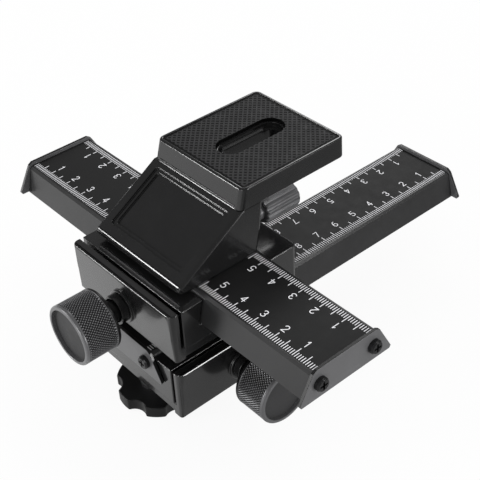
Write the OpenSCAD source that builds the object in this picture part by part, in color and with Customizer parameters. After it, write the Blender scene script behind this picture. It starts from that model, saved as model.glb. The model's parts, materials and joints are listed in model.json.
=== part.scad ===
// Four-way macro focusing rail: two identical rack-driven rails crossed at right angles.
// The lower rail slides through a carriage that is screwed to a tripod head, and carries the
// upper carriage. The upper rail slides through that one and carries the camera platform.
// Origin: centre of the tripod socket's mouth. +X along the upper rail, +Y along the lower rail.

/* [Rails] */
// Length of each rail between its end plates
rail_length = 158.5; // [130:0.5:200]
// Width across the flat top of a rail
rail_top_width = 29.4; // [28:0.2:32]
// Width across the bottom of a rail, wider than the top so that the carriage holds it down
rail_base_width = 34; // [33:0.2:38]
// Height of a rail
rail_height = 10.8; // [10.6:0.1:11]
// Thickness of a rail's top web
rail_web = 2.8; // [2.4:0.1:3]
// Thickness of the scale plate let into a rail's top
scale_plate_t = 0.6; // [0.4:0.1:0.8]
// Thickness of an end plate
end_plate_t = 1.2; // [1:0.1:2]

/* [Carriages] */
// Length of a carriage along its own rail
carriage_length = 57.2; // [50:0.2:64]
// Width of a carriage across its rail, from the jaw's face to the back
carriage_width = 57.4; // [56:0.2:62]
// Height of a carriage casting
carriage_height = 21; // [20:0.5:24]
// How far a rail's top stands above the carriage that it slides in
rail_stand = 1.7; // [1.2:0.1:2]
// Height of the foot between the upper carriage and the lower rail
foot_height = 4.2; // [3:0.1:6]

/* [Drive] */
// Teeth on a pinion
pinion_teeth = 10; // [10:1:11]
// Diameter of a drive knob
knob_diameter = 22.8; // [20:0.2:24]
// Length of a drive knob
knob_length = 14.5; // [12:0.5:18]
// Diameter of a drive shaft
shaft_diameter = 4; // [3:0.1:4]
// Diameter of a lock knob
lock_knob_diameter = 11; // [10:0.2:13]
// Length of a lock knob
lock_knob_length = 16.6; // [14:0.2:18]
// Flutes on a lock knob
lock_knob_flutes = 14; // [10:1:16]
// Diameter of a lock screw
lock_screw_diameter = 4; // [3:0.5:5]

/* [Platform] */
// Size of the camera platform along the upper rail
platform_width = 46.6; // [44:0.2:52]
// Size of the camera platform across the upper rail
platform_depth = 47.8; // [44:0.2:54]
// Thickness of the platform
platform_t = 8; // [7:0.5:9]
// Height of the platform's top above the upper rail
platform_height = 28; // [26:0.5:34]
// Width of the slot for a 1/4 inch camera screw
slot_width = 6.6; // [6.6:0.1:7.4]
// Length of that slot from end to end
slot_length = 25.2; // [20:0.2:28]

/* [Tripod mount] */
// Diameter over the star wheel's lobes
star_diameter = 33.4; // [30:0.2:36]
// Lobes on the star wheel
star_lobes = 7; // [6:1:8]
// Thickness of the star wheel
star_t = 5; // [4:0.5:6]
// Diameter of the threaded boss that the star wheel turns on
boss_diameter = 15; // [13:0.5:16]

/* [Hidden] */
$fn = 48;

// Clearances: between sliding faces, round turning shafts, and a joint between fixed faces
slide_gap = 0.3;
run_gap = 0.05;
eps = 0.01;
// How far a cut runs past the face that it opens
past = 1;

// Heights, measured from a rail's top (0) downwards
carriage_top = -rail_stand;
carriage_bottom = carriage_top - carriage_height;
rail_drop = rail_stand + carriage_height + foot_height;
groove_floor = -rail_height - slide_gap;
shaft_cover = 0.6;
shaft_z = groove_floor - shaft_cover - shaft_diameter / 2;
pinion_module = 1;
pitch_radius = pinion_teeth * pinion_module / 2;
tooth_pitch = PI * pinion_module;
pressure_angle = 25;
addendum = 0.75;
dedendum = 1;
backlash = 0.16;
pitch_line = shaft_z + pitch_radius;

// Where things are in the row's frame
socket_setback = 17.3;
star_gap = 6.9;
boss_height = star_gap + star_t;
carriage_y = socket_setback;
lower_rail_z = boss_height - carriage_bottom;
upper_rail_z = lower_rail_z + rail_drop;
rest_gap = 0.3;
rail_b_y = carriage_y + rail_length / 2 - carriage_length / 2 - rest_gap;
carriage_place_b = carriage_y - rail_b_y;

// Carriage casting, across its rail (v): the jaw is on the -v side
jaw_offset = 0.6;
jaw_top_v = -carriage_width / 2 - jaw_offset;
jaw_draft = 0.8;
back_v = carriage_width + jaw_top_v;
slit_width = 1.2;
jaw_t = 3.7;
slit_v = jaw_top_v + jaw_t;
slit_depth = 15.4;
slit_bottom = carriage_top - slit_depth;
corner_radius = 2.5;
edge_radius = 0.9;
edge_chamfer = 0.5;
jaw_boss_radius = 6.4;
jaw_boss_rise = 0.7;
jaw_boss_face = jaw_top_v - jaw_boss_rise;
pinion_width = 6;
pinion_side_gap = 0.5;
pocket_half = pitch_radius + addendum + 1.2;
pocket_bottom = shaft_z - pitch_radius - addendum - 0.6;
foot_half_width = 13;
foot_half_length = 22;
foot_corner = 2;
end_rebate = 0.8;
end_rebate_height = 4.2;
end_rebate_inset = 4;

// Drive: the collar is pressed into the jaw's boss and the knob's neck turns in its recess
collar_radius = 5.5;
collar_face = jaw_boss_face - 3;
collar_recess_radius = 4.6;
collar_recess_depth = 2;
spigot_radius = 4;
knob_neck_radius = 4;
knob_stand = 4.5;
knob_back = collar_face - knob_stand;
knob_neck_length = knob_stand + collar_recess_depth - slide_gap;
knob_face = knob_back - knob_length;
knob_rim = 1.5;
knob_recess = 3;
knob_edge = 0.6;
knob_back_edge = 1.2;
disc_t = 1.5;
shaft_inset = knob_recess + disc_t;
shaft_back = back_v - 4;
shaft_end_gap = 0.5;

// Lock: a screw through the carriage's back, level with the middle of the rail's side
lock_z = -5.8;
lock_stand = 7.3;
lock_front = back_v + lock_stand;
lock_back = lock_front + lock_knob_length;
lock_cap_t = 3;
lock_hub_radius = 3.4;
lock_hub_length = 2.2;
lock_hub_start = lock_front - lock_hub_length;
lock_bevel = 0.6;
flute_radius = 0.9;
flute_depth = 0.55;

// Rail section
rail_half = rail_top_width / 2;
rail_base_half = rail_base_width / 2;
rail_bevel = 0.9;
channel_half = 9;
plate_border = 0.5;
plate_half = rail_half - rail_bevel - plate_border;
side_slope = (rail_base_half - rail_half) / (rail_height - rail_bevel);
rack_half = 3.4;
rack_end_gap = 2;

// End plates
plate_top_half = 14.2;
plate_base_half = 20.7;
plate_rise = 1.45;
plate_drop = rail_height;
plate_corner = 1;
plate_corner_in = 0.4;

// Fasteners
screw_radius = 1.45;
tapped_radius = 1.5;
hole_radius = 1.6;
head_radius = 2.6;
head_height = 1.9;
head_edge_t = 0.6;
head_edge_in = 0.5;
recess_length = 3.2;
recess_width = 0.8;
recess_depth = 1.1;
end_screw_v = 11.9;
end_screw_z = -4.6;
end_screw_length = 8;
web_screw_v = 6.2;
web_screw_u = 16;
web_screw_length = 9.5;
tapped_depth = web_screw_length - rail_web + 1.3;

// Platform casting
casting_foot_half = 24.2;
casting_front = -16.5;
casting_back = 13.4;
neck_back = 16;
neck_height = 11;
neck_top_back = 17.4;
lip_radius = 1.6;
lip_end_angle = 250;
lip_y = -20.6;
lip_z = 3.6;
panel_top_y = 6.9;
platform_front = 8.9;
platform_back = platform_front + platform_depth;
platform_under = platform_height - platform_t;
platform_middle = platform_front + platform_depth / 2;
panel_angle = atan2(platform_under - lip_z, panel_top_y - lip_y);
panel_length = norm([platform_under - lip_z, panel_top_y - lip_y]);
panel_pocket_half = 20;
panel_pocket_start = 4;
panel_pocket_end = panel_length - 2;
panel_step = 0.8;
panel_step_in = 1.4;
panel_corner = 1.5;
pad_rim = 1.2;
pad_t = 1.4;
pad_sink = 0.25;
pad_corner = 1.5;
pad_floor = platform_height - pad_t - pad_sink;
slot_x = -0.8;
slot_shift = 0.9;
slot_y = platform_middle + slot_shift;
counter_slot_margin = 2.8;
counter_slot_depth = 3.6;
pad_slot_margin = 4.4;

// Tripod boss and star wheel
spigot_depth = 4;
boss_spigot_radius = 6;
socket_radius = 2.6;
socket_depth = 10;
scallop_radius = 4.9;
scallop_depth = 2.2;
first_scallop = -70;

function arc(cx, cy, r, from, to, n) =
    [for (i = [0:n]) [cx + r * cos(from + (to - from) * i / n),
                      cy + r * sin(from + (to - from) * i / n)]];

// Pinion tooth: half angle at radius r of an involute tooth on base circle base_radius
base_radius = pitch_radius * cos(pressure_angle);
function involute_angle(r) =
    r <= base_radius ? 0 : tan(acos(base_radius / r)) * 180 / PI - acos(base_radius / r);
pitch_half_angle = 90 / pinion_teeth - backlash / 2 / pitch_radius * 180 / PI;
function half_tooth(r) =
    pitch_half_angle + involute_angle(pitch_radius) - involute_angle(r);
function polar(r, a) = [r * cos(a), r * sin(a)];

module rounded_rect(half_x, half_y, r) {
    union() {
        square([2 * half_x - 2 * r, 2 * half_y], center = true);
        square([2 * half_x, 2 * half_y - 2 * r], center = true);
        for (x = [-half_x + r, half_x - r]) {
            for (y = [-half_y + r, half_y - r]) {
                translate([x, y]) circle(r);
            }
        }
    }
}

module stadium(width, length) {
    run = (length - width) / 2;
    union() {
        square([width, 2 * run], center = true);
        for (y = [-run, run]) {
            translate([0, y]) circle(width / 2);
        }
    }
}

// Extrudes a (v, w) outline along a carriage's or rail's own length, centred
module along_rail(length) {
    rotate([90, 0, 90]) linear_extrude(length, center = true) children();
}

// Cylinder along v, between two places
module across(r, from, to, w = shaft_z) {
    translate([0, to, w]) rotate([90, 0, 0]) cylinder(r = r, h = to - from);
}

// Puts a carriage and what turns in it at the upper or the lower rail
module at_upper() {
    translate([0, carriage_y, upper_rail_z]) children();
}

module at_lower() {
    translate([0, carriage_y, lower_rail_z]) rotate([0, 0, 90]) children();
}

module at_rail_a() {
    translate([0, carriage_y, upper_rail_z]) children();
}

module at_rail_b() {
    translate([0, rail_b_y, lower_rail_z]) rotate([0, 0, 90]) children();
}

// Carriage

module carriage_outline() {
    polygon(concat(
        arc(jaw_top_v + edge_radius, carriage_top - edge_radius, edge_radius, 90, 180, 4),
        [[jaw_top_v + jaw_draft, carriage_bottom + edge_chamfer]],
        [[jaw_top_v + jaw_draft + edge_chamfer, carriage_bottom], [back_v, carriage_bottom]],
        [[back_v, carriage_top - edge_chamfer], [back_v - edge_chamfer, carriage_top]]
    ));
}

// Half width of the groove at height w: the rail's own side plus the sliding gap
function groove_half(w) = rail_half + side_slope * (-w - rail_bevel) + slide_gap;

module groove_outline() {
    mouth = carriage_top + past;
    polygon([
        [-groove_half(mouth), mouth], [groove_half(mouth), mouth],
        [groove_half(groove_floor), groove_floor], [-groove_half(groove_floor), groove_floor]
    ]);
}

module carriage_body() {
    middle_v = (jaw_top_v + back_v) / 2;
    difference() {
        union() {
            intersection() {
                along_rail(carriage_length) carriage_outline();
                translate([0, middle_v, carriage_bottom - past]) {
                    linear_extrude(carriage_height + 2 * past) {
                        rounded_rect(carriage_length / 2, carriage_width / 2, corner_radius);
                    }
                }
            }
            across(jaw_boss_radius, jaw_boss_face, slit_v - eps);
        }
        along_rail(carriage_length + 2 * past) groove_outline();
        translate([-carriage_length, slit_v, slit_bottom]) {
            cube([2 * carriage_length, slit_width, carriage_height]);
        }
        translate([-pocket_half, -pinion_width / 2 - pinion_side_gap, pocket_bottom]) {
            cube([2 * pocket_half, pinion_width + 2 * pinion_side_gap, past + groove_floor - pocket_bottom]);
        }
        across(shaft_diameter / 2 + run_gap, slit_v - past, shaft_back + shaft_end_gap);
        across(spigot_radius, jaw_boss_face - past, slit_v + eps);
        across(lock_screw_diameter / 2 + run_gap, rail_half, back_v + past, lock_z);
        for (side = [-1, 1]) {
            translate([side * carriage_length / 2, 0, carriage_bottom]) {
                cube([2 * end_rebate, 2 * (back_v - end_rebate_inset), 2 * end_rebate_height], center = true);
            }
        }
    }
}

// The four screws through a rail's web, round a place along the rail
module web_screw_places(middle = 0) {
    for (u = [-web_screw_u, web_screw_u]) {
        for (v = [-web_screw_v, web_screw_v]) {
            translate([middle + u, v, 0]) children();
        }
    }
}

module upper_carriage() {
    color([0.10, 0.10, 0.11]) at_upper() {
        difference() {
            union() {
                carriage_body();
                translate([0, 0, -rail_drop]) {
                    linear_extrude(foot_height + eps) {
                        rounded_rect(foot_half_width, foot_half_length, foot_corner);
                    }
                }
            }
            rotate([0, 0, 90]) web_screw_places() {
                translate([0, 0, -rail_drop - past]) {
                    cylinder(r = tapped_radius, h = tapped_depth + past);
                }
            }
        }
    }
}

module lower_carriage() {
    color([0.10, 0.10, 0.11]) at_lower() difference() {
        carriage_body();
        translate([-socket_setback, 0, carriage_bottom - past]) {
            cylinder(r = boss_spigot_radius, h = spigot_depth + past);
        }
    }
}

module tripod_boss() {
    color([0.62, 0.62, 0.64]) difference() {
        union() {
            cylinder(d = boss_diameter, h = boss_height);
            cylinder(r = boss_spigot_radius, h = boss_height + spigot_depth);
        }
        translate([0, 0, -past]) cylinder(r = socket_radius, h = socket_depth + past);
    }
}

module star_wheel() {
    color([0.08, 0.08, 0.08]) difference() {
        cylinder(d = star_diameter, h = star_t);
        translate([0, 0, -past]) cylinder(d = boss_diameter + 2 * run_gap, h = star_t + 2 * past);
        for (i = [0:star_lobes - 1]) {
            rotate([0, 0, first_scallop + i * 360 / star_lobes]) {
                translate([star_diameter / 2 - scallop_depth + scallop_radius, 0, -past]) {
                    cylinder(r = scallop_radius, h = star_t + 2 * past);
                }
            }
        }
    }
}

// Drive and lock knobs

module collar() {
    color([0.12, 0.12, 0.13]) difference() {
        union() {
            across(collar_radius, collar_face, jaw_boss_face);
            across(spigot_radius, jaw_boss_face - eps, slit_v);
        }
        across(collar_recess_radius, collar_face - past, collar_face + collar_recess_depth);
        across(shaft_diameter / 2 + run_gap, collar_face, slit_v + past);
    }
}

module shaft() {
    color([0.70, 0.70, 0.72]) {
        across(shaft_diameter / 2, knob_face + shaft_inset, shaft_back);
    }
}

module pinion_outline() {
    tip = pitch_radius + addendum;
    root = pitch_radius - dedendum;
    flank = [for (i = [0:4]) base_radius + (tip - base_radius) * i / 4];
    polygon([for (t = [0:pinion_teeth - 1]) each concat(
        [polar(root, t * 360 / pinion_teeth - half_tooth(base_radius))],
        [for (i = [0:4]) polar(flank[i], t * 360 / pinion_teeth - half_tooth(flank[i]))],
        [for (i = [0:4]) polar(flank[4 - i], t * 360 / pinion_teeth + half_tooth(flank[4 - i]))],
        [polar(root, t * 360 / pinion_teeth + half_tooth(base_radius))]
    )]);
}

module pinion() {
    color([0.75, 0.62, 0.30]) translate([0, pinion_width / 2, shaft_z]) rotate([90, 0, 0]) {
        linear_extrude(pinion_width) difference() {
            rotate([0, 0, 90]) pinion_outline();
            circle(d = shaft_diameter);
        }
    }
}

module drive_knob() {
    r = knob_diameter / 2;
    color([0.07, 0.07, 0.08]) translate([0, knob_face, shaft_z]) rotate([-90, 0, 0]) {
        rotate_extrude($fn = 64) polygon(concat(
            [[shaft_diameter / 2, knob_recess], [r - knob_rim, knob_recess], [r - knob_rim, 0]],
            arc(r - knob_edge, knob_edge, knob_edge, -90, 0, 3),
            arc(r - knob_back_edge, knob_length - knob_back_edge, knob_back_edge, 0, 90, 3),
            [[knob_neck_radius, knob_length], [knob_neck_radius, knob_length + knob_neck_length]],
            [[shaft_diameter / 2, knob_length + knob_neck_length]]
        ));
    }
}

module knob_disc() {
    color([0.35, 0.35, 0.36]) translate([0, knob_face + knob_recess, shaft_z]) {
        rotate([90, 0, 0]) cylinder(r = knob_diameter / 2 - knob_rim, h = disc_t);
    }
}

// Turned screw with its tip a sliding gap short of the rail's side
module lock_screw() {
    tip = groove_half(lock_z - lock_screw_diameter / 2);
    color([0.70, 0.70, 0.72]) across(lock_screw_diameter / 2, tip, lock_back - lock_cap_t, lock_z);
}

module lock_knob() {
    r = lock_knob_diameter / 2;
    flute_middle = r - flute_depth + flute_radius;
    color([0.12, 0.12, 0.13]) translate([0, lock_hub_start, lock_z]) rotate([-90, 0, 0]) {
        difference() {
            rotate_extrude() polygon([
                [lock_screw_diameter / 2, 0], [lock_hub_radius, 0],
                [lock_hub_radius, lock_hub_length], [r - lock_bevel, lock_hub_length],
                [r, lock_hub_length + lock_bevel],
                [r, lock_hub_length + lock_knob_length - lock_bevel],
                [r - lock_bevel, lock_hub_length + lock_knob_length],
                [0, lock_hub_length + lock_knob_length],
                [0, lock_hub_length + lock_knob_length - lock_cap_t],
                [lock_screw_diameter / 2, lock_hub_length + lock_knob_length - lock_cap_t]
            ]);
            for (i = [0:lock_knob_flutes - 1]) {
                rotate([0, 0, i * 360 / lock_knob_flutes]) {
                    translate([flute_middle, 0, lock_hub_length - past]) {
                        cylinder(r = flute_radius, h = lock_knob_length + 2 * past, $fn = 16);
                    }
                }
            }
        }
    }
}

// Rails

module rail_outline() {
    polygon([
        [-rail_half + rail_bevel, 0], [-plate_half, 0], [-plate_half, -scale_plate_t],
        [plate_half, -scale_plate_t], [plate_half, 0], [rail_half - rail_bevel, 0],
        [rail_half, -rail_bevel], [rail_base_half, -rail_height], [channel_half, -rail_height],
        [channel_half, -rail_web], [-channel_half, -rail_web], [-channel_half, -rail_height],
        [-rail_base_half, -rail_height], [-rail_half, -rail_bevel]
    ]);
}

module end_screw_places() {
    for (v = [-end_screw_v, end_screw_v]) {
        translate([0, v, end_screw_z]) children();
    }
}

module rail(screw_middle) {
    color([0.16, 0.16, 0.17]) difference() {
        along_rail(rail_length) rail_outline();
        end_screw_places() rotate([0, 90, 0]) {
            for (end = [-1, 1]) {
                translate([0, 0, end * rail_length / 2]) {
                    cylinder(r = tapped_radius, h = 2 * (end_screw_length + past), center = true);
                }
            }
        }
        web_screw_places(screw_middle) {
            translate([0, 0, -rail_web - past]) cylinder(r = hole_radius, h = rail_web + 2 * past);
        }
    }
}

// Rack under the web, with a gap between teeth over the pinion's place along the rail
module rack(pinion_place) {
    count = floor((rail_length - tooth_pitch - 2 * rack_end_gap) / tooth_pitch / 2) * 2;
    root_z = pitch_line + dedendum;
    tip_z = pitch_line - addendum;
    tip_half = tooth_pitch / 4 - addendum * tan(pressure_angle);
    root_half = tooth_pitch / 4 + dedendum * tan(pressure_angle);
    half = count * tooth_pitch / 2;
    phase = pinion_place - round(pinion_place / tooth_pitch) * tooth_pitch;
    color([0.78, 0.66, 0.34]) translate([phase, 0, 0]) rotate([90, 0, 0]) {
        linear_extrude(2 * rack_half, center = true) polygon(concat(
            [[-half, -rail_web], [-half, root_z]],
            [for (i = [0:count - 1]) each [
                [-half + (i + 0.5) * tooth_pitch - root_half, root_z],
                [-half + (i + 0.5) * tooth_pitch - tip_half, tip_z],
                [-half + (i + 0.5) * tooth_pitch + tip_half, tip_z],
                [-half + (i + 0.5) * tooth_pitch + root_half, root_z]
            ]],
            [[half, root_z], [half, -rail_web]]
        ));
    }
}

module scale_plate(screw_middle) {
    color([0.13, 0.13, 0.14]) difference() {
        translate([0, 0, -scale_plate_t / 2]) {
            cube([rail_length, 2 * plate_half, scale_plate_t], center = true);
        }
        web_screw_places(screw_middle) {
            translate([0, 0, -rail_web]) cylinder(r = hole_radius, h = rail_web + past);
        }
    }
}

module end_plate(end) {
    top_w = plate_rise;
    low_w = -plate_drop;
    c = plate_corner;
    lean = (plate_base_half - plate_top_half) / (plate_rise + plate_drop);
    color([0.20, 0.20, 0.21]) difference() {
        translate([end * (rail_length + end_plate_t) / 2, 0, 0]) along_rail(end_plate_t) polygon([
            [-plate_top_half + c, top_w], [plate_top_half - c, top_w],
            [plate_top_half + c * lean, top_w - c],
            [plate_base_half - plate_corner_in, low_w + c], [plate_base_half - c, low_w],
            [-plate_base_half + c, low_w], [-plate_base_half + plate_corner_in, low_w + c],
            [-plate_top_half - c * lean, top_w - c]
        ]);
        end_screw_places() rotate([0, 90, 0]) {
            cylinder(r = hole_radius, h = 2 * rail_length, center = true);
        }
    }
}

module pan_head_screw(length) {
    difference() {
        union() {
            cylinder(r = screw_radius, h = length, $fn = 24);
            translate([0, 0, -head_height]) {
                cylinder(r1 = head_radius - head_edge_in, r2 = head_radius, h = head_edge_t, $fn = 32);
            }
            translate([0, 0, -head_height + head_edge_t]) {
                cylinder(r = head_radius, h = head_height - head_edge_t, $fn = 32);
            }
        }
        for (turn = [0, 90]) {
            rotate([0, 0, turn]) translate([0, 0, -head_height]) {
                cube([recess_length, recess_width, 2 * recess_depth], center = true);
            }
        }
    }
}

module end_screws() {
    color([0.25, 0.25, 0.26]) for (end = [-1, 1]) {
        end_screw_places() translate([end * (rail_length / 2 + end_plate_t), 0, 0]) {
            rotate([0, -90 * end, 0]) pan_head_screw(end_screw_length);
        }
    }
}

module web_screws(screw_middle) {
    color([0.55, 0.55, 0.57]) web_screw_places(screw_middle) {
        translate([0, 0, -rail_web]) pan_head_screw(web_screw_length);
    }
}

module platform_side_outline() {
    polygon(concat(
        [[casting_front, 0], [casting_back, 0], [neck_back, neck_height]],
        [[neck_top_back, platform_under + past], [platform_middle, platform_under + past]],
        [[platform_middle, platform_height - past], [platform_front, platform_height - past]],
        [[panel_top_y, platform_under]],
        arc(lip_y + lip_radius * sin(panel_angle), lip_z - lip_radius * cos(panel_angle),
            lip_radius, 90 + panel_angle, lip_end_angle, 4)
    ));
}

module platform() {
    color([0.09, 0.09, 0.10]) at_rail_a() difference() {
        union() {
            intersection() {
                along_rail(2 * casting_foot_half) platform_side_outline();
                translate([0, platform_back, 0]) rotate([90, 0, 0]) {
                    linear_extrude(2 * (platform_back - lip_y)) polygon([
                        [-casting_foot_half, 0], [casting_foot_half, 0],
                        [platform_width / 2, platform_height], [-platform_width / 2, platform_height]
                    ]);
                }
            }
            translate([0, platform_middle, platform_under]) {
                linear_extrude(platform_t) {
                    rounded_rect(platform_width / 2, platform_depth / 2, corner_radius);
                }
            }
        }
        translate([0, platform_middle, pad_floor]) linear_extrude(platform_t) pad_outline();
        translate([slot_x, slot_y, platform_under - past]) {
            linear_extrude(platform_t + 2 * past) stadium(slot_width, slot_length);
        }
        translate([slot_x, slot_y, platform_height - counter_slot_depth]) {
            linear_extrude(platform_t) {
                stadium(slot_width + counter_slot_margin, slot_length + counter_slot_margin);
            }
        }
        translate([0, lip_y, lip_z]) rotate([panel_angle, 0, 0]) panel_pocket();
        web_screw_places() translate([0, 0, -past]) {
            cylinder(r = tapped_radius, h = tapped_depth + past);
        }
    }
}

module pad_outline() {
    rounded_rect(platform_width / 2 - pad_rim, platform_depth / 2 - pad_rim, pad_corner);
}

// Two-step rectangular recess in the slanted panel
module panel_pocket() {
    middle = (panel_pocket_start + panel_pocket_end) / 2;
    half = (panel_pocket_end - panel_pocket_start) / 2;
    for (step = [0, 1]) {
        inset = panel_step_in * step;
        translate([0, middle, -panel_step * (1 + step)]) linear_extrude(platform_t) {
            rounded_rect(panel_pocket_half - inset, half - inset, panel_corner);
        }
    }
}

module platform_pad() {
    color([0.05, 0.05, 0.05]) at_rail_a() {
        translate([0, 0, pad_floor]) linear_extrude(pad_t) difference() {
            translate([0, platform_middle]) pad_outline();
            translate([slot_x, slot_y]) {
                stadium(slot_width + pad_slot_margin, slot_length + pad_slot_margin);
            }
        }
    }
}

// Nodes that only place a shape above

module lower_collar() {
    at_lower() collar();
}

module lower_shaft() {
    at_lower() shaft();
}

module lower_pinion() {
    at_lower() pinion();
}

module lower_drive_knob() {
    at_lower() drive_knob();
}

module lower_knob_disc() {
    at_lower() knob_disc();
}

module lower_lock_screw() {
    at_lower() lock_screw();
}

module lower_lock_knob() {
    at_lower() lock_knob();
}

module upper_collar() {
    at_upper() collar();
}

module upper_shaft() {
    at_upper() shaft();
}

module upper_pinion() {
    at_upper() pinion();
}

module upper_drive_knob() {
    at_upper() drive_knob();
}

module upper_knob_disc() {
    at_upper() knob_disc();
}

module upper_lock_screw() {
    at_upper() lock_screw();
}

module upper_lock_knob() {
    at_upper() lock_knob();
}

module rail_b() {
    at_rail_b() rail(carriage_place_b);
}

module rack_b() {
    at_rail_b() rack(carriage_place_b);
}

module scale_plate_b() {
    at_rail_b() scale_plate(carriage_place_b);
}

module end_plate_b_near() {
    at_rail_b() end_plate(-1);
}

module end_plate_b_far() {
    at_rail_b() end_plate(1);
}

module end_screws_b() {
    at_rail_b() end_screws();
}

module carriage_screws() {
    at_rail_b() web_screws(carriage_place_b);
}

module rail_a() {
    at_rail_a() rail(0);
}

module rack_a() {
    at_rail_a() rack(0);
}

module scale_plate_a() {
    at_rail_a() scale_plate(0);
}

module end_plate_a_near() {
    at_rail_a() end_plate(1);
}

module end_plate_a_far() {
    at_rail_a() end_plate(-1);
}

module end_screws_a() {
    at_rail_a() end_screws();
}

module platform_screws() {
    at_rail_a() web_screws(0);
}

lower_carriage();
lower_collar();
tripod_boss();
lower_shaft();
lower_pinion();
lower_drive_knob();
lower_knob_disc();
lower_lock_screw();
lower_lock_knob();
star_wheel();
rail_b();
rack_b();
scale_plate_b();
end_plate_b_near();
end_plate_b_far();
end_screws_b();
upper_carriage();
carriage_screws();
upper_collar();
upper_shaft();
upper_pinion();
upper_drive_knob();
upper_knob_disc();
upper_lock_screw();
upper_lock_knob();
rail_a();
rack_a();
scale_plate_a();
end_plate_a_near();
end_plate_a_far();
end_screws_a();
platform();
platform_screws();
platform_pad();
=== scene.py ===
"""Looks of a four-way macro focusing rail: two crossed rails with printed scales, cast carriages,
knobs and a camera platform. Lengths are in millimetres, except on the stage, which is in metres."""

import json
import math

import bmesh
import bpy
from mathutils import Matrix, Vector
from mathutils.geometry import tessellate_polygon


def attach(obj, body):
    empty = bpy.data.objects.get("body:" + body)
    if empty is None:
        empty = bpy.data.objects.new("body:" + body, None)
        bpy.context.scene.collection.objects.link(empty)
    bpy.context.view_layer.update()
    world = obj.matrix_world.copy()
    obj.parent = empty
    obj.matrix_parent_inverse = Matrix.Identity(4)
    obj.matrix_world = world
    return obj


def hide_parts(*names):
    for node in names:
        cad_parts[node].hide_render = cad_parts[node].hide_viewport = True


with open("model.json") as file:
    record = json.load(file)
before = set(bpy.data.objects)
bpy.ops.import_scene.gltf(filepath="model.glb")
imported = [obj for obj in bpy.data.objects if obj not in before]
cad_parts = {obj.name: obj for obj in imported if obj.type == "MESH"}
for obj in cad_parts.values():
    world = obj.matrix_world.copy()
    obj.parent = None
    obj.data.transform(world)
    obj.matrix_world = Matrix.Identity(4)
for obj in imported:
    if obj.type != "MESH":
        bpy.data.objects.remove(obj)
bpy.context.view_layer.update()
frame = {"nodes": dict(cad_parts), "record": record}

MM = 0.001
SCENE = bpy.context.scene

RAIL_LENGTH = 158.5
RAIL_A_TOP, RAIL_B_TOP = 61.5, 34.6
CARRIAGE_Y = 17.3
RAIL_B_Y = 67.65
QUARTER_TURN = Matrix.Rotation(math.pi / 2, 4, "Z")


def frame_at(y, z):
    """A rail's or carriage's own frame: x along its rail, y across it, and z = 0 at the rail's top."""
    return Matrix.Translation(Vector((0, y, z)) * MM)


UPPER = frame_at(CARRIAGE_Y, RAIL_A_TOP)
LOWER = frame_at(CARRIAGE_Y, RAIL_B_TOP) @ QUARTER_TURN
# The upper rail rests in the middle of its carriage
RAIL_A = UPPER
RAIL_B = frame_at(RAIL_B_Y, RAIL_B_TOP) @ QUARTER_TURN


# ---------- camera ----------

CAMERA_PLACE = (243.0, -155.6, 289.6)
CAMERA_TARGET = (14.38, 31.0, 61.5)
CAMERA_ROLL = math.radians(3.16)
SENSOR_WIDTH = 36
FOCAL_LENGTH = 79.2


def camera():
    """The photograph's camera, which was fitted to the rails' printed marks."""
    place = Vector(CAMERA_PLACE) * MM
    ahead = (Vector(CAMERA_TARGET) * MM - place).normalized()
    right = ahead.cross(Vector((0, 0, 1))).normalized()
    up = right.cross(ahead)
    across = math.cos(CAMERA_ROLL) * right - math.sin(CAMERA_ROLL) * up
    upward = math.sin(CAMERA_ROLL) * right + math.cos(CAMERA_ROLL) * up
    data = bpy.data.cameras.new("camera")
    data.sensor_width = SENSOR_WIDTH
    data.lens = FOCAL_LENGTH
    data.clip_start, data.clip_end = 0.01, 20
    cam = bpy.data.objects.new("camera", data)
    SCENE.collection.objects.link(cam)
    turn = Matrix((across, upward, -ahead)).transposed()
    cam.matrix_world = Matrix.Translation(place) @ turn.to_4x4()
    SCENE.camera = cam


# ---------- materials ----------

# Noise scales, in features per metre
COLOUR_DRIFT = 60
GLOSS_PATCHES = 240
PAD_PATCHES = 300
FINE_GRAIN = 5000
DRAWN_LINES = 5200

# The near-black painted on a plate's cut edges as shade
PAINTED_EDGE_SHADE = 0.005
COAT_ROUGHNESS = 0.09


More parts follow.
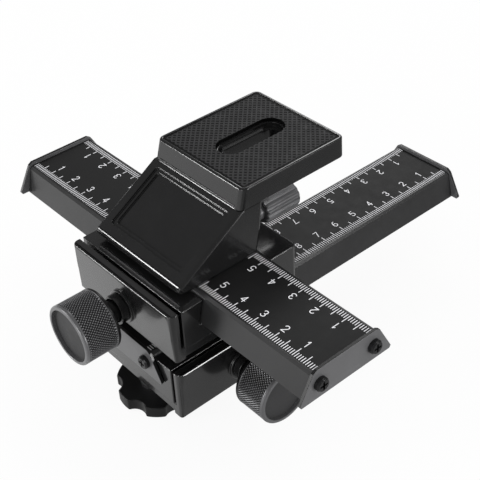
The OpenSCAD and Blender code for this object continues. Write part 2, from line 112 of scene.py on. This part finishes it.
class Nodes:
    """A material's node tree with short ways to add and join nodes."""

    def __init__(self, name):
        self.material = bpy.data.materials.new(name)
        self.material.use_nodes = True
        self.tree = self.material.node_tree
        self.shader = self.tree.nodes["Principled BSDF"]
        coordinates = self.add("ShaderNodeTexCoord").outputs
        self.place, self.normal = coordinates["Object"], coordinates["Normal"]

    def add(self, kind, **settings):
        node = self.tree.nodes.new(kind)
        for key, value in settings.items():
            setattr(node, key, value)
        return node

    def join(self, source, target):
        self.tree.links.new(source, target)

    def split(self, vector):
        """A vector's X, Y and Z sockets."""
        node = self.add("ShaderNodeSeparateXYZ")
        self.join(vector, node.inputs[0])
        return node.outputs

    def maths(self, operation, *values):
        """A Math node's result from sockets and numbers."""
        node = self.add("ShaderNodeMath", operation=operation)
        for socket, value in zip(node.inputs, values):
            if isinstance(value, (int, float)):
                socket.default_value = value
            else:
                self.join(value, socket)
        return node.outputs[0]

    def noise(self, scale, detail=2.0, roughness=0.5, stretch=None):
        node = self.add("ShaderNodeTexNoise")
        node.inputs["Scale"].default_value = scale
        node.inputs["Detail"].default_value = detail
        node.inputs["Roughness"].default_value = roughness
        place = self.place
        if stretch:
            mapping = self.add("ShaderNodeMapping")
            mapping.inputs["Scale"].default_value = stretch
            self.join(place, mapping.inputs["Vector"])
            place = mapping.outputs["Vector"]
        self.join(place, node.inputs["Vector"])
        return node.outputs["Fac"]

    def ramp(self, source, low, high, start, end):
        """low to high while the source goes from start to end."""
        node = self.add("ShaderNodeMapRange")
        limits = {"From Min": start, "From Max": end, "To Min": low, "To Max": high}
        for key, value in limits.items():
            node.inputs[key].default_value = value
        self.join(source, node.inputs["Value"])
        return node.outputs["Result"]

    def blend(self, factor, low, high):
        """A mix of two colours, each a triple or a socket."""
        node = self.add("ShaderNodeMix", data_type="RGBA")
        self.join(factor, node.inputs[0])
        for socket, colour in ((node.inputs[6], low), (node.inputs[7], high)):
            if isinstance(colour, tuple):
                socket.default_value = (*colour, 1)
            else:
                self.join(colour, socket)
        return node.outputs[2]

    def bump(self, source, depth_mm, after=None):
        node = self.add("ShaderNodeBump")
        node.inputs["Strength"].default_value = 1.0
        node.inputs["Distance"].default_value = depth_mm * MM
        self.join(source, node.inputs["Height"])
        if after:
            self.join(after, node.inputs["Normal"])
        return node.outputs["Normal"]

    def gloss(self, noise, rough):
        """Roughness that a noise moves between two values."""
        self.join(self.ramp(noise, *rough, 0.3, 0.7), self.shader.inputs["Roughness"])

    def set(self, **values):
        for key, value in values.items():
            self.shader.inputs[key.replace("_", " ")].default_value = value


def grey(value):
    """A very slightly blue grey."""
    return (value, value, value * 1.03)


def paint(name, tones, rough, grain_mm, peel_mm, metallic=0.0, specular=0.5, coat=0.0, face=None):
    """Sprayed or anodised finish: faint colour drift, patchy gloss and orange peel. face is the
    axis that a flat plate faces along; the faces across it, the plate's cut edges, are painted dark as
    shade."""
    n = Nodes(name)
    drift = n.ramp(n.noise(COLOUR_DRIFT, 4, 0.6), 0, 1, 0.35, 0.65)
    colour = n.blend(drift, grey(tones[0]), grey(tones[1]))
    # A plate's cut edges, the faces across its axis, get painted shade
    if face:
        facing = n.maths("ABSOLUTE", n.split(n.normal)[face])
        colour = n.blend(n.ramp(facing, 0, 1, 0.6, 0.9), grey(PAINTED_EDGE_SHADE), colour)
    n.join(colour, n.shader.inputs["Base Color"])
    n.gloss(n.noise(GLOSS_PATCHES, 3, 0.6), rough)
    relief = n.bump(n.noise(1 / (grain_mm * MM), 2, 0.5), peel_mm)
    n.join(relief, n.shader.inputs["Normal"])
    n.set(Metallic=metallic, Specular_IOR_Level=specular)
    if coat:
        n.set(Coat_Weight=coat, Coat_Roughness=COAT_ROUGHNESS)
        n.join(relief, n.shader.inputs["Coat Normal"])
    return n.material


def brushed(name, dark, light, rough, metallic=1.0):
    """Machined metal: fine lines drawn along Z."""
    n = Nodes(name)
    lines = n.noise(DRAWN_LINES, 2, 0.5, (1.0, 1.0, 0.03))
    n.join(n.blend(lines, dark, light), n.shader.inputs["Base Color"])
    n.gloss(lines, rough)
    n.join(n.bump(lines, 0.004), n.shader.inputs["Normal"])
    n.set(Metallic=metallic)
    return n.material


def knurled(name, dark, light):
    """Anodised knurling, with a painted highlight on its peaks, where the mesh's relief is 1, and painted
    shade in its pits.
    """
    n = Nodes(name)
    relief = n.add("ShaderNodeAttribute", attribute_name="relief").outputs["Fac"]
    # Light where the relief is high is painted highlight, dark where it is low is painted shade
    n.join(n.blend(n.ramp(relief, 0, 1, 0.2, 0.95), dark, light), n.shader.inputs["Base Color"])
    n.gloss(n.noise(GLOSS_PATCHES, 3, 0.6), (0.28, 0.38))
    n.join(n.bump(n.noise(FINE_GRAIN), 0.003), n.shader.inputs["Normal"])
    n.set(Metallic=0.6)
    return n.material


HATCH_PITCH = 2.38
HATCH_SKEW = 1.047
PAD_HALF_X, PAD_HALF_Y = 22.1, 22.7
PAD_MIDDLE_Y = 50.1


def hatched(name, dark, light):
    """Rubber with a diagonal grid of pits, drawn by two crossed waves, with painted shade in the pits."""
    n = Nodes(name)
    spot = n.split(n.place)

    def wave(sign):
        """The size of a sine that runs along one diagonal."""
        along = n.maths("MULTIPLY_ADD", spot["Y"], sign * HATCH_SKEW, spot["X"])
        return n.maths("ABSOLUTE", n.maths("SINE", n.maths("MULTIPLY", along, math.pi / HATCH_PITCH / MM)))

    def apart(axis, middle, half):
        """How far a point lies outside the pad along one axis."""
        size = n.maths("ABSOLUTE", n.maths("SUBTRACT", spot[axis], middle * MM))
        return n.maths("SUBTRACT", size, half * MM)

    waves = n.maths("MINIMUM", n.ramp(wave(1), 0, 1, 0.50, 0.78), n.ramp(wave(-1), 0, 1, 0.62, 0.88))
    # The hatch stops short of the pad's edge and stays on its top; the border and the sides keep the dark
    # colour as painted shade
    outside = n.maths("MAXIMUM", apart("X", 0, PAD_HALF_X), apart("Y", PAD_MIDDLE_Y, PAD_HALF_Y))
    inside = n.ramp(outside, 1, 0, -1.0 * MM, -0.7 * MM)
    top = n.maths("MULTIPLY", inside, n.ramp(n.split(n.normal)["Z"], 0, 1, 0.8, 0.95))
    net = n.maths("MULTIPLY", n.ramp(waves, 1, 0, 0, 1), top)
    # The dark colour in the pits, at the border and on the sides is painted shade
    n.join(n.blend(net, dark, light), n.shader.inputs["Base Color"])
    fine = n.bump(n.noise(FINE_GRAIN), 0.006)
    n.join(n.bump(net, 0.35, fine), n.shader.inputs["Normal"])
    n.gloss(n.noise(PAD_PATCHES, 3), (0.42, 0.58))
    n.set(Specular_IOR_Level=0.12)
    return n.material


def make_materials():
    plate = {"tones": (0.085, 0.098), "rough": (0.30, 0.40), "grain_mm": 0.8, "peel_mm": 0.002}
    return {
        "cast": paint("cast_black", (0.007, 0.009), (0.20, 0.25), 1.6, 0.0012, coat=0.45),
        "platform": paint(
            "platform_black", (0.007, 0.009), (0.18, 0.21), 1.6, 0.0012, specular=0.42, coat=0.3
        ),
        "rail": paint("rail_grey", (0.015, 0.019), (0.29, 0.32), 1.2, 0.0012, specular=0.45),
        "scale": paint("scale_grey", (0.006, 0.008), (0.54, 0.59), 0.16, 0.004, specular=0.4),
        "end_plate_a": paint("end_plate_a_grey", face="X", **plate),
        "end_plate_b": paint("end_plate_b_grey", face="Y", **plate),
        "print": paint("print_white", (0.88, 0.94), (0.45, 0.6), 0.2, 0.003),
        "knob": knurled("knob_black", grey(0.014), grey(0.36)),
        "disc": paint("disc_grey", (0.028, 0.034), (0.55, 0.7), 0.15, 0.006, specular=0.3),
        "lock": paint("lock_grey", (0.10, 0.14), (0.26, 0.38), 0.3, 0.004, metallic=0.4),
        "star": paint("star_black", (0.004, 0.005), (0.36, 0.5), 0.4, 0.008, specular=0.25),
        "screw": brushed("screw_black", grey(0.02), grey(0.05), (0.2, 0.35), metallic=0.8),
        "steel": brushed("shaft_steel", grey(0.42), grey(0.6), (0.22, 0.36)),
        "brass": brushed("rack_brass", (0.42, 0.29, 0.10), (0.55, 0.40, 0.16), (0.3, 0.45)),
        "boss": brushed("boss_metal", grey(0.30), grey(0.42), (0.3, 0.45)),
        "pad": hatched("pad_rubber_hatched", grey(0.0005), grey(0.034)),
    }


# ---------- pieces from the solids, with worked edges ----------

SHARP_ANGLE = math.radians(32)
FLAT_ANGLE = math.radians(0.6)
ROUNDING_SEGMENTS = 3
SAME_POINT = 0.002
SAME_ROUNDED_POINT = 0.0005


def body_of(node):
    for body, members in frame["record"]["behaviour"]["bodies"].items():
        if node in members:
            return body


def add_piece(name, bm, material, body):
    """A piece from a bmesh, on its body and in its material slot."""
    mesh = bpy.data.meshes.new(name)
    bm.to_mesh(mesh)
    bm.free()
    mesh.materials.append(material)
    piece = bpy.data.objects.new(name, mesh)
    SCENE.collection.objects.link(piece)
    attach(piece, body)
    return piece


def smooth(mesh, angle):
    """Smooth shading, broken at edges sharper than the angle."""
    for face in mesh.polygons:
        face.use_smooth = True
    mesh.set_sharp_from_angle(angle=angle)


def band(bm, low, high):
    """Faces between two closed rings with the same number of points."""
    for i in range(len(low)):
        k = (i + 1) % len(low)
        bm.faces.new((low[i], low[k], high[k], high[i]))


def bands(bm, rings):
    for low, high in zip(rings, rings[1:]):
        band(bm, low, high)


def cleaned(node):
    """The solid's mesh with its flat faces whole, for bmesh work."""
    bm = bmesh.new()
    bm.from_mesh(frame["nodes"][node].data)
    bmesh.ops.remove_doubles(bm, verts=bm.verts, dist=SAME_POINT * MM)
    bmesh.ops.dissolve_limit(
        bm, angle_limit=FLAT_ANGLE, use_dissolve_boundaries=False, verts=bm.verts, edges=bm.edges
    )
    return bm


def dress(node, material, convex_mm, concave_mm=None, bm=None, width_of=None):
    """A copy of a solid with its sharp edges rounded, which stands for that solid. width_of may
    give an edge a width of its own."""
    bm = bm or cleaned(node)
    concave_mm = convex_mm if concave_mm is None else concave_mm
    widest = max(convex_mm, concave_mm)
    weights = bm.edges.layers.float.new("bevel_weight_edge")
    for edge in bm.edges:
        if edge.is_manifold and edge.calc_face_angle(0) > SHARP_ANGLE:
            width = convex_mm if edge.is_convex else concave_mm
            edge[weights] = (width_of(edge, width) if width_of else width) / widest
    piece = add_piece(node + "_shell", bm, material, body_of(node))
    smooth(piece.data, SHARP_ANGLE)
    bevel = piece.modifiers.new("edges", "BEVEL")
    bevel.width = widest * MM
    bevel.segments = ROUNDING_SEGMENTS
    bevel.limit_method = "WEIGHT"
    bevel.use_clamp_overlap = False
    bevel.harden_normals = False
    # An edge of no width leaves faces of no area, which this removes
    weld = piece.modifiers.new("joined_points", "WELD")
    weld.merge_threshold = SAME_ROUNDED_POINT * MM
    flat = piece.modifiers.new("flat_faces", "WEIGHTED_NORMAL")
    flat.weight = 90
    flat.keep_sharp = True
    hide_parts(node)


def recolour(node, material):
    for slot in frame["nodes"][node].material_slots:
        slot.material = material


# ---------- printed scales ----------

# A mark starts inside its plate. Marks differ a hair in height, so that none lie in one plane.
MARK_SUNK, MARK_HEIGHT = -0.02, 0.02
MARK_STEP, MARK_STEPS = 0.0015, 24
MARK_HALF_WIDTH = 0.14
MARK_OUTER = 13.0
SHORT_MARK_INNER, LONG_MARK_INNER = 10.7, 8.9
# The two counts meet in the middle of the rail
LAST_MARK = {-1: 78, 1: 80}
DIGIT_HEIGHT, DIGIT_WIDTH = 2.9, 2.7
DIGIT_ACROSS = 6.2
STROKE = 0.32
JOINT_SIDES = 10


def bow(cx, cy, rx, ry, start, end, steps=14):
    """Points on an ellipse, between two angles in degrees."""
    turns = [math.radians(start + (end - start) * i / steps) for i in range(steps + 1)]
    return [(cx + rx * math.cos(t), cy + ry * math.sin(t)) for t in turns]


# Each number's lines, 1 high and centred on x = 0
DIGITS = {
    1: [[(-0.16, 0.78), (0.06, 1.0), (0.06, 0.0)]],
    2: [bow(0, 0.72, 0.29, 0.28, 165, -35) + [(-0.3, 0.0), (0.32, 0.0)]],
    3: [bow(-0.02, 0.74, 0.27, 0.26, 160, -90) + bow(-0.02, 0.25, 0.31, 0.25, 90, -160)],
    4: [[(0.14, 0.0), (0.14, 1.0), (-0.32, 0.3), (0.34, 0.3)]],
    5: [[(0.28, 1.0), (-0.2, 1.0), (-0.26, 0.55)] + bow(-0.01, 0.31, 0.31, 0.31, 125, -150)],
    6: [bow(0, 0.3, 0.3, 0.3, 130, 490, 22), bow(0.22, 0.4, 0.52, 0.62, 95, 190, 10)],
    7: [[(-0.3, 1.0), (0.32, 1.0), (-0.1, 0.0)]],
    8: [bow(0, 0.75, 0.25, 0.25, 0, 360, 20), bow(0, 0.26, 0.3, 0.26, 0, 360, 20)],
}


def stroke(points):
    """Outlines of a drawn line: a bar for each stretch and a round joint at each point."""
    shapes = []
    for (x0, y0), (x1, y1) in zip(points, points[1:]):
        length = math.hypot(x1 - x0, y1 - y0)
        nx, ny = -(y1 - y0) / length * STROKE / 2, (x1 - x0) / length * STROKE / 2
        shapes.append([(x0 - nx, y0 - ny), (x1 - nx, y1 - ny), (x1 + nx, y1 + ny), (x0 + nx, y0 + ny)])
    turns = [2 * math.pi * i / JOINT_SIDES for i in range(JOINT_SIDES)]
    # A closed line ends where it starts, and needs one joint there
    for x, y in dict.fromkeys((round(x, 6), round(y, 6)) for x, y in points):
        shapes.append([(x + STROKE / 2 * math.cos(a), y + STROKE / 2 * math.sin(a)) for a in turns])
    return shapes


def digit_shapes(value, u, v, inward):
    """A number centred at (u, v) whose top points towards the rail's middle."""
    shapes = []
    for line in DIGITS[value]:
        points = [(x * DIGIT_WIDTH, (y - 0.5) * DIGIT_HEIGHT) for x, y in line]
        shapes += stroke([(u + inward * x, v + inward * y) for x, y in points])
    return shapes


def mark_shapes():
    """Millimetre marks and centimetre numbers, counted from both ends along both edges."""
    shapes = []
    for end, last in LAST_MARK.items():
        for count in range(1, last + 1):
            u = end * (RAIL_LENGTH / 2 - count)
            inner = LONG_MARK_INNER if count % 5 == 0 else SHORT_MARK_INNER
            left, right = u - MARK_HALF_WIDTH, u + MARK_HALF_WIDTH
            for side in (-1, 1):
                low, high = sorted((side * inner, side * MARK_OUTER))
                shapes.append([(left, low), (right, low), (right, high), (left, high)])
                if count % 10 == 0:
                    shapes += digit_shapes(count // 10, u, side * DIGIT_ACROSS, -side)
    return shapes


def scale_marks(name, place, body):
    """All of one rail's marks in one mesh, each a thin closed shape."""
    bm = bmesh.new()
    for i, outline in enumerate(mark_shapes()):
        top = MARK_HEIGHT + MARK_STEP * (i % MARK_STEPS)
        low, high = [
            [bm.verts.new(place @ Vector((x * MM, y * MM, z * MM))) for x, y in outline]
            for z in (MARK_SUNK, top)
        ]
        bm.faces.new(low[::-1])
        bm.faces.new(high)
        band(bm, low, high)
    bmesh.ops.recalc_face_normals(bm, faces=bm.faces)
    add_piece(name, bm, MATERIALS["print"], body)


# ---------- knobs ----------

SHAFT_Z = -13.7
KNOB_FACE = -52.0
KNOB_LENGTH = 14.5
KNOB_RADIUS = 11.4
KNOB_BORE = 2.0
NECK_LENGTH, NECK_RADIUS = 6.2, 4.0
KNURL_COLUMNS = 2 * 66
KNURL_ROWS = 2 * 9 + 1
KNURL_DEPTH = 0.34
KNURL_EDGE_DEPTH = 0.12
FRONT_BAND, BACK_BAND = 1.3, 1.5
KNURL_SHARP_ANGLE = math.radians(24)


def knob_place(carriage):
    """The knob's axis runs from its face towards the carriage."""
    shift = Matrix.Translation(Vector((0, KNOB_FACE * MM, SHAFT_Z * MM)))
    return carriage @ shift @ Matrix.Rotation(-math.pi / 2, 4, "X")


def round_point(bm, place, along, radius, column):
    """A point on a turned shape, given along its axis and by its column of the knurl."""
    angle = 2 * math.pi * column / KNURL_COLUMNS
    spot = (radius * MM * math.cos(angle), radius * MM * math.sin(angle), along * MM)
    return bm.verts.new(place @ Vector(spot))


def lathe(bm, place, profile):
    """Joined rings of points round an axis, from a profile of (along, radius)."""
    rings = [
        [round_point(bm, place, along, radius, i) for i in range(KNURL_COLUMNS)]
        for along, radius in profile
    ]
    bands(bm, rings)
    return rings


def knurl(bm, place, relief):
    """Diamond knurling: points that are high and low by turns, joined across the low ones."""
    pitch = (KNOB_LENGTH - FRONT_BAND - BACK_BAND) / (KNURL_ROWS - 1)
    grid = []
    for j in range(KNURL_ROWS):
        ring = []
        for i in range(KNURL_COLUMNS):
            edge = j in (0, KNURL_ROWS - 1)
            high = (i + j) % 2 == 1
            cut = KNURL_EDGE_DEPTH if edge else 0.0 if high else KNURL_DEPTH
            vert = round_point(bm, place, FRONT_BAND + j * pitch, KNOB_RADIUS - cut, i)
            # Peaks carry the painted highlight and pits the painted shade; the edge rows take a middle
            # tone
            vert[relief] = 0.5 if edge else float(high)
            ring.append(vert)
        grid.append(ring)
    for j in range(KNURL_ROWS - 1):
        for i in range(KNURL_COLUMNS):
            k = (i + 1) % KNURL_COLUMNS
            a, b, c, d = grid[j][i], grid[j][k], grid[j + 1][k], grid[j + 1][i]
            if (i + j) % 2 == 0:
                bm.faces.new((a, b, c))
                bm.faces.new((a, c, d))
            else:
                bm.faces.new((a, b, d))
                bm.faces.new((b, c, d))
    return grid


def knurled_knob(name, node, place, body):
    """A drive knob: recessed face with a rim, knurling, smooth end bands, a neck and a bore."""
    bm = bmesh.new()
    relief = bm.verts.layers.float.new("relief")
    length, radius = KNOB_LENGTH, KNOB_RADIUS
    front = lathe(bm, place, (
        (3.0, KNOB_BORE), (3.0, radius - 1.5), (0.15, radius - 1.5), (0.0, radius - 1.35),
        (0.0, radius - 0.75), (0.12, radius - 0.4), (0.4, radius - 0.12), (0.8, radius),
        (FRONT_BAND - 0.1, radius),
    ))
    # The front rim and face take a middle tone as a painted highlight
    for ring in front:
        for vert in ring:
            vert[relief] = 0.5
    grid = knurl(bm, place, relief)
    back = lathe(bm, place, (
        (length - BACK_BAND + 0.1, radius), (length - 1.0, radius), (length - 0.5, radius - 0.14),
        (length - 0.15, radius - 0.5), (length, radius - 1.0), (length, NECK_RADIUS + 0.25),
        (length + 0.25, NECK_RADIUS), (length + NECK_LENGTH - 0.3, NECK_RADIUS),
        (length + NECK_LENGTH, NECK_RADIUS - 0.3), (length + NECK_LENGTH, KNOB_BORE),
    ))
    band(bm, front[-1], grid[0])
    band(bm, grid[-1], back[0])
    band(bm, back[-1], front[0])
    bmesh.ops.recalc_face_normals(bm, faces=bm.faces)
    piece = add_piece(name, bm, MATERIALS["knob"], body)
    smooth(piece.data, KNURL_SHARP_ANGLE)
    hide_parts(node)


# ---------- platform, in the upper rail's frame ----------

DECK_UNDER, DECK_TOP = 20.0, 28.0
DECK_HALF_X, DECK_HALF_Y, DECK_MIDDLE_Y = 23.3, 23.9, 32.8
DECK_CORNER, DECK_LEAST_CORNER = 2.5, 0.3
# At its underside the deck is wider, and its front lies further forward
DECK_WIDER, DECK_LEAN = 0.011, 2.0
SLOT_X, SLOT_Y = -0.8, 33.7
SLOT_HALF_RUN, SLOT_RADIUS = 9.3, 3.3
# The casting ends just inside the deck
CAST_CUT, DECK_LOW = DECK_UNDER - 0.02, DECK_UNDER - 0.04
CAST_SIDE_X = 22
NECK_INNER_X, NECK_INNER_Z = 21.6, 19.4
FINE_ROUNDING = 0.25

# Rings of (inset, height) up the deck's wall and over its lip, and down through its slot
WALL_RINGS = (
    (0.4, DECK_LOW), (0.12, DECK_LOW + 0.12), (0.0, DECK_LOW + 0.4), (0.0, 27.4), (0.05, 27.63),
    (0.18, 27.82), (0.37, 27.95), (0.6, DECK_TOP), (1.0, DECK_TOP), (1.14, 27.94), (1.2, 27.8),
    (1.2, 26.35),
)
SLOT_RINGS = (
    (1.65, 26.35), (1.47, 26.28), (1.4, 26.1), (1.4, 24.4), (0.3, 24.4), (0.08, 24.32),
    (0.0, 24.1), (0.0, DECK_LOW + 0.25), (0.08, DECK_LOW + 0.07), (0.3, DECK_LOW),
)

# The hollow rounding where the slanted panel meets the deck's front, by place across and radius
FILLET_CORNER = (6.9, DECK_UNDER)
PANEL_DOWN = (-27.5, -16.4)
FILLET_SECTIONS = ((-21.5, 0.3), (-20.4, 1.6), (20.4, 1.6), (21.5, 0.3))
FILLET_STEPS = 6
FILLET_SUNK = 0.4


def platform_rounding(edge, width):
    """No width on the deck, which has its own roundings, or where the casting meets it, the full
    width along the casting's sides, and a fine one on the rest."""
    if all(vert.co.z > (RAIL_A_TOP + DECK_UNDER - 0.1) * MM for vert in edge.verts):
        return 0.0
    if all(
        vert.co.z > (RAIL_A_TOP + NECK_INNER_Z) * MM and abs(vert.co.x) < NECK_INNER_X * MM
        for vert in edge.verts
    ):
        return 0.0
    if all(abs(vert.co.x) > CAST_SIDE_X * MM for vert in edge.verts):
        return width
    return min(width, FINE_ROUNDING)


def deck_outline(inset, z):
    """The deck's edge in plan. Its front leans forward towards the slanted panel."""
    corner = max(DECK_CORNER - inset, DECK_LEAST_CORNER)
    run_x, run_y = DECK_HALF_X - inset - corner, DECK_HALF_Y - inset - corner
    lean = (DECK_TOP - z) / (DECK_TOP - DECK_UNDER)
    points = []
    for cx, cy, start in ((1, 1, 0), (-1, 1, 90), (-1, -1, 180), (1, -1, 270)):
        x, y = cx * run_x, DECK_MIDDLE_Y + cy * run_y
        points += bow(x, y, corner, corner, start, start + 90, 8)
    return [
        (x * (1 + DECK_WIDER * lean), y - (DECK_LEAN * lean if y < DECK_MIDDLE_Y else 0.0), z)
        for x, y in points
    ]


def slot_outline(grow, z):
    """The camera slot's edge in plan, grown outwards."""
    radius = SLOT_RADIUS + grow
    points = bow(SLOT_X, SLOT_Y + SLOT_HALF_RUN, radius, radius, 0, 180)
    points += bow(SLOT_X, SLOT_Y - SLOT_HALF_RUN, radius, radius, 180, 360)
    return [(x, y, z) for x, y in points]


def sleeve(bm, place, outlines):
    """Joined rows of points, from closed outlines one above the other."""
    rows = [[bm.verts.new(place @ (Vector(point) * MM)) for point in outline] for outline in outlines]
    bands(bm, rows)
    return rows


def platform_with_deck(place):
    """The casting cut off under its deck, and a deck with rounded edges and a stepped slot."""
    bm = cleaned("platform")
    cut = bmesh.ops.bisect_plane(
        bm, geom=bm.verts[:] + bm.edges[:] + bm.faces[:],
        plane_co=(0, 0, (RAIL_A_TOP + CAST_CUT) * MM), plane_no=(0, 0, 1), clear_outer=True,
    )
    rim = [item for item in cut["geom_cut"] if isinstance(item, bmesh.types.BMEdge)]
    bmesh.ops.triangle_fill(bm, use_beauty=True, edges=rim)

    walls = [deck_outline(*ring) for ring in WALL_RINGS]
    slots = [slot_outline(*ring) for ring in SLOT_RINGS]
    wall_rows, slot_rows = sleeve(bm, place, walls), sleeve(bm, place, slots)
    # The underside, then the seat of the pad
    for wall, slot in ((0, -1), (-1, 0)):
        verts = wall_rows[wall] + slot_rows[slot]
        outlines = [[Vector(point) for point in ring] for ring in (walls[wall], slots[slot])]
        for corners in tessellate_polygon(outlines):
            bm.faces.new([verts[corner] for corner in corners])
    fillet(bm, place)
    bmesh.ops.recalc_face_normals(bm, faces=bm.faces)
    return bm


def fillet(bm, place):
    """A hollow rounding where the slanted panel meets the deck's front."""
    corner = Vector(FILLET_CORNER)
    up = Vector((DECK_LEAN, DECK_TOP - DECK_UNDER)).normalized()
    down = Vector(PANEL_DOWN).normalized()
    out = (up + down).normalized()
    half_angle = up.angle(down) / 2
    start = math.atan2(-up.x, up.y)
    sections = []
    for x, radius in FILLET_SECTIONS:
        centre = corner + out * radius / math.sin(half_angle)
        section = []
        for i in range(FILLET_STEPS + 1):
            lean = start + (math.pi - 2 * half_angle) * i / FILLET_STEPS
            section.append(centre - radius * Vector((-math.cos(lean), math.sin(lean))))
        section.append(corner - out * FILLET_SUNK)
        sections.append([bm.verts.new(place @ (Vector((x, point.x, point.y)) * MM)) for point in section])
    bands(bm, sections)
    bm.faces.new(sections[0])
    bm.faces.new(sections[-1])


# ---------- stage, in metres ----------

FLOOR_HALF = 6.0
FLOOR_Z = -0.0008
FLOOR_SEEN = 0.92
FLOOR_SLOPE = (0.77, 0.64, 0.0)
FLOOR_SLOPE_START, FLOOR_SLOPE_END = -0.12, 0.18
FLOOR_FADE = ((0.27, 0.88), (0.5, 0.38), (0.82, 0.47))
FLOOR_FADE_LAST = (0.94, 0.27)
WORLD_LEVEL, WORLD_REFLECTED = 0.80, 0.24
LAMP_TARGET = (0.0, 0.03, 0.05)
# Name, place, size and watts
LAMPS = (
    ("key", (0.25, -0.85, 0.30), 0.4, 1.8),
    ("edge", (-0.55, -0.70, 0.19), 0.21, 4.2),
    ("right", (0.96, 0.39, 0.12), 0.22, 3.8),
    ("back", (-0.45, 0.60, 0.55), 0.24, 1.0),
    ("far_right", (0.56, 0.50, 0.62), 0.16, 0.8),
)


def floor_material():
    """White to the camera. The object reflects a floor that is brighter at the front left than
    at the back right."""
    n = Nodes("floor_white")
    n.set(Base_Color=(0.86, 0.86, 0.86, 1), Roughness=0.9)
    rays = n.add("ShaderNodeLightPath").outputs
    seen = n.maths("MULTIPLY", rays["Is Camera Ray"], FLOOR_SEEN)
    share = n.maths("MAXIMUM", seen, rays["Is Glossy Ray"])

    slope = n.add("ShaderNodeVectorMath", operation="DOT_PRODUCT")
    slope.inputs[1].default_value = FLOOR_SLOPE
    n.join(n.place, slope.inputs[0])
    fade = n.add("ShaderNodeValToRGB")
    stops = fade.color_ramp.elements
    stops[0].color = (1.0, 1.0, 1.0, 1)
    position, value = FLOOR_FADE_LAST
    stops[1].position, stops[1].color = position, (value, value, value, 1)
    for position, value in FLOOR_FADE:
        stops.new(position).color = (value, value, value, 1)
    along = n.ramp(slope.outputs["Value"], 0, 1, FLOOR_SLOPE_START, FLOOR_SLOPE_END)
    n.join(along, fade.inputs["Fac"])

    strength = n.add("ShaderNodeMapRange")
    strength.inputs["To Min"].default_value = 1.0
    n.join(rays["Is Glossy Ray"], strength.inputs["Value"])
    n.join(fade.outputs["Color"], strength.inputs["To Max"])
    glow = n.add("ShaderNodeEmission")
    glow.inputs["Color"].default_value = (1, 1, 1, 1)
    n.join(strength.outputs["Result"], glow.inputs["Strength"])
    mix = n.add("ShaderNodeMixShader")
    for source, target in zip((share, n.shader.outputs[0], glow.outputs[0]), mix.inputs):
        n.join(source, target)
    n.join(mix.outputs[0], n.tree.nodes["Material Output"].inputs["Surface"])
    return n.material


def lay_floor():
    mesh = bpy.data.meshes.new("floor")
    bm = bmesh.new()
    corners = ((-1, -1), (1, -1), (1, 1), (-1, 1))
    bm.faces.new([bm.verts.new((x * FLOOR_HALF, y * FLOOR_HALF, FLOOR_Z)) for x, y in corners])
    bm.to_mesh(mesh)
    bm.free()
    mesh.materials.append(floor_material())
    floor = bpy.data.objects.new("floor", mesh)
    SCENE.collection.objects.link(floor)


def light_world():
    """Plain white, and dimmer where it is reflected."""
    world = bpy.data.worlds.new("studio")
    SCENE.world = world
    world.use_nodes = True
    nodes, links = world.node_tree.nodes, world.node_tree.links
    back = nodes["Background"]
    back.inputs["Color"].default_value = (1, 1, 1, 1)
    level = nodes.new("ShaderNodeMapRange")
    level.inputs["To Min"].default_value = WORLD_LEVEL
    level.inputs["To Max"].default_value = WORLD_REFLECTED
    links.new(nodes.new("ShaderNodeLightPath").outputs["Is Glossy Ray"], level.inputs["Value"])
    links.new(level.outputs[0], back.inputs["Strength"])


def lamp(name, place, size, watts):
    data = bpy.data.lights.new(name, "AREA")
    data.energy = watts
    data.shape = "SQUARE"
    data.size = size
    light = bpy.data.objects.new(name, data)
    light.location = place
    light.visible_camera = False
    light.rotation_mode = "QUATERNION"
    light.rotation_quaternion = (Vector(LAMP_TARGET) - Vector(place)).to_track_quat("-Z", "Y")
    SCENE.collection.objects.link(light)


# ---------- the whole ----------

camera()
lay_floor()
light_world()
for settings in LAMPS:
    lamp(*settings)
SCENE.view_settings.view_transform = "Standard"
MATERIALS = make_materials()

for node in ("lower_carriage", "upper_carriage"):
    dress(node, MATERIALS["cast"], 0.4, 0.2)
dress("platform", MATERIALS["platform"], 1.2, 0.12, platform_with_deck(RAIL_A), platform_rounding)
for rail in ("a", "b"):
    for end in ("near", "far"):
        dress(f"end_plate_{rail}_{end}", MATERIALS["end_plate_" + rail], 0.15)
for node in ("lower_lock_knob", "upper_lock_knob"):
    dress(node, MATERIALS["lock"], 0.3)
dress("star_wheel", MATERIALS["star"], 0.5)
for node in ("lower_collar", "upper_collar"):
    dress(node, MATERIALS["cast"], 0.2)

for material, nodes in {
    "rail": ("rail_a", "rail_b"),
    "scale": ("scale_plate_a", "scale_plate_b"),
    "disc": ("lower_knob_disc", "upper_knob_disc"),
    "screw": ("end_screws_a", "end_screws_b", "carriage_screws", "platform_screws"),
    "steel": ("lower_shaft", "upper_shaft", "lower_lock_screw", "upper_lock_screw"),
    "brass": ("lower_pinion", "upper_pinion", "rack_a", "rack_b"),
    "boss": ("tripod_boss",),
    "pad": ("platform_pad",),
}.items():
    for node in nodes:
        recolour(node, MATERIALS[material])

scale_marks("scale_marks_a", RAIL_A, "top_slide")
scale_marks("scale_marks_b", RAIL_B, "cross_slide")
knurled_knob("upper_knob_shell", "upper_drive_knob", knob_place(UPPER), "upper_drive")
knurled_knob("lower_knob_shell", "lower_drive_knob", knob_place(LOWER), "lower_drive")
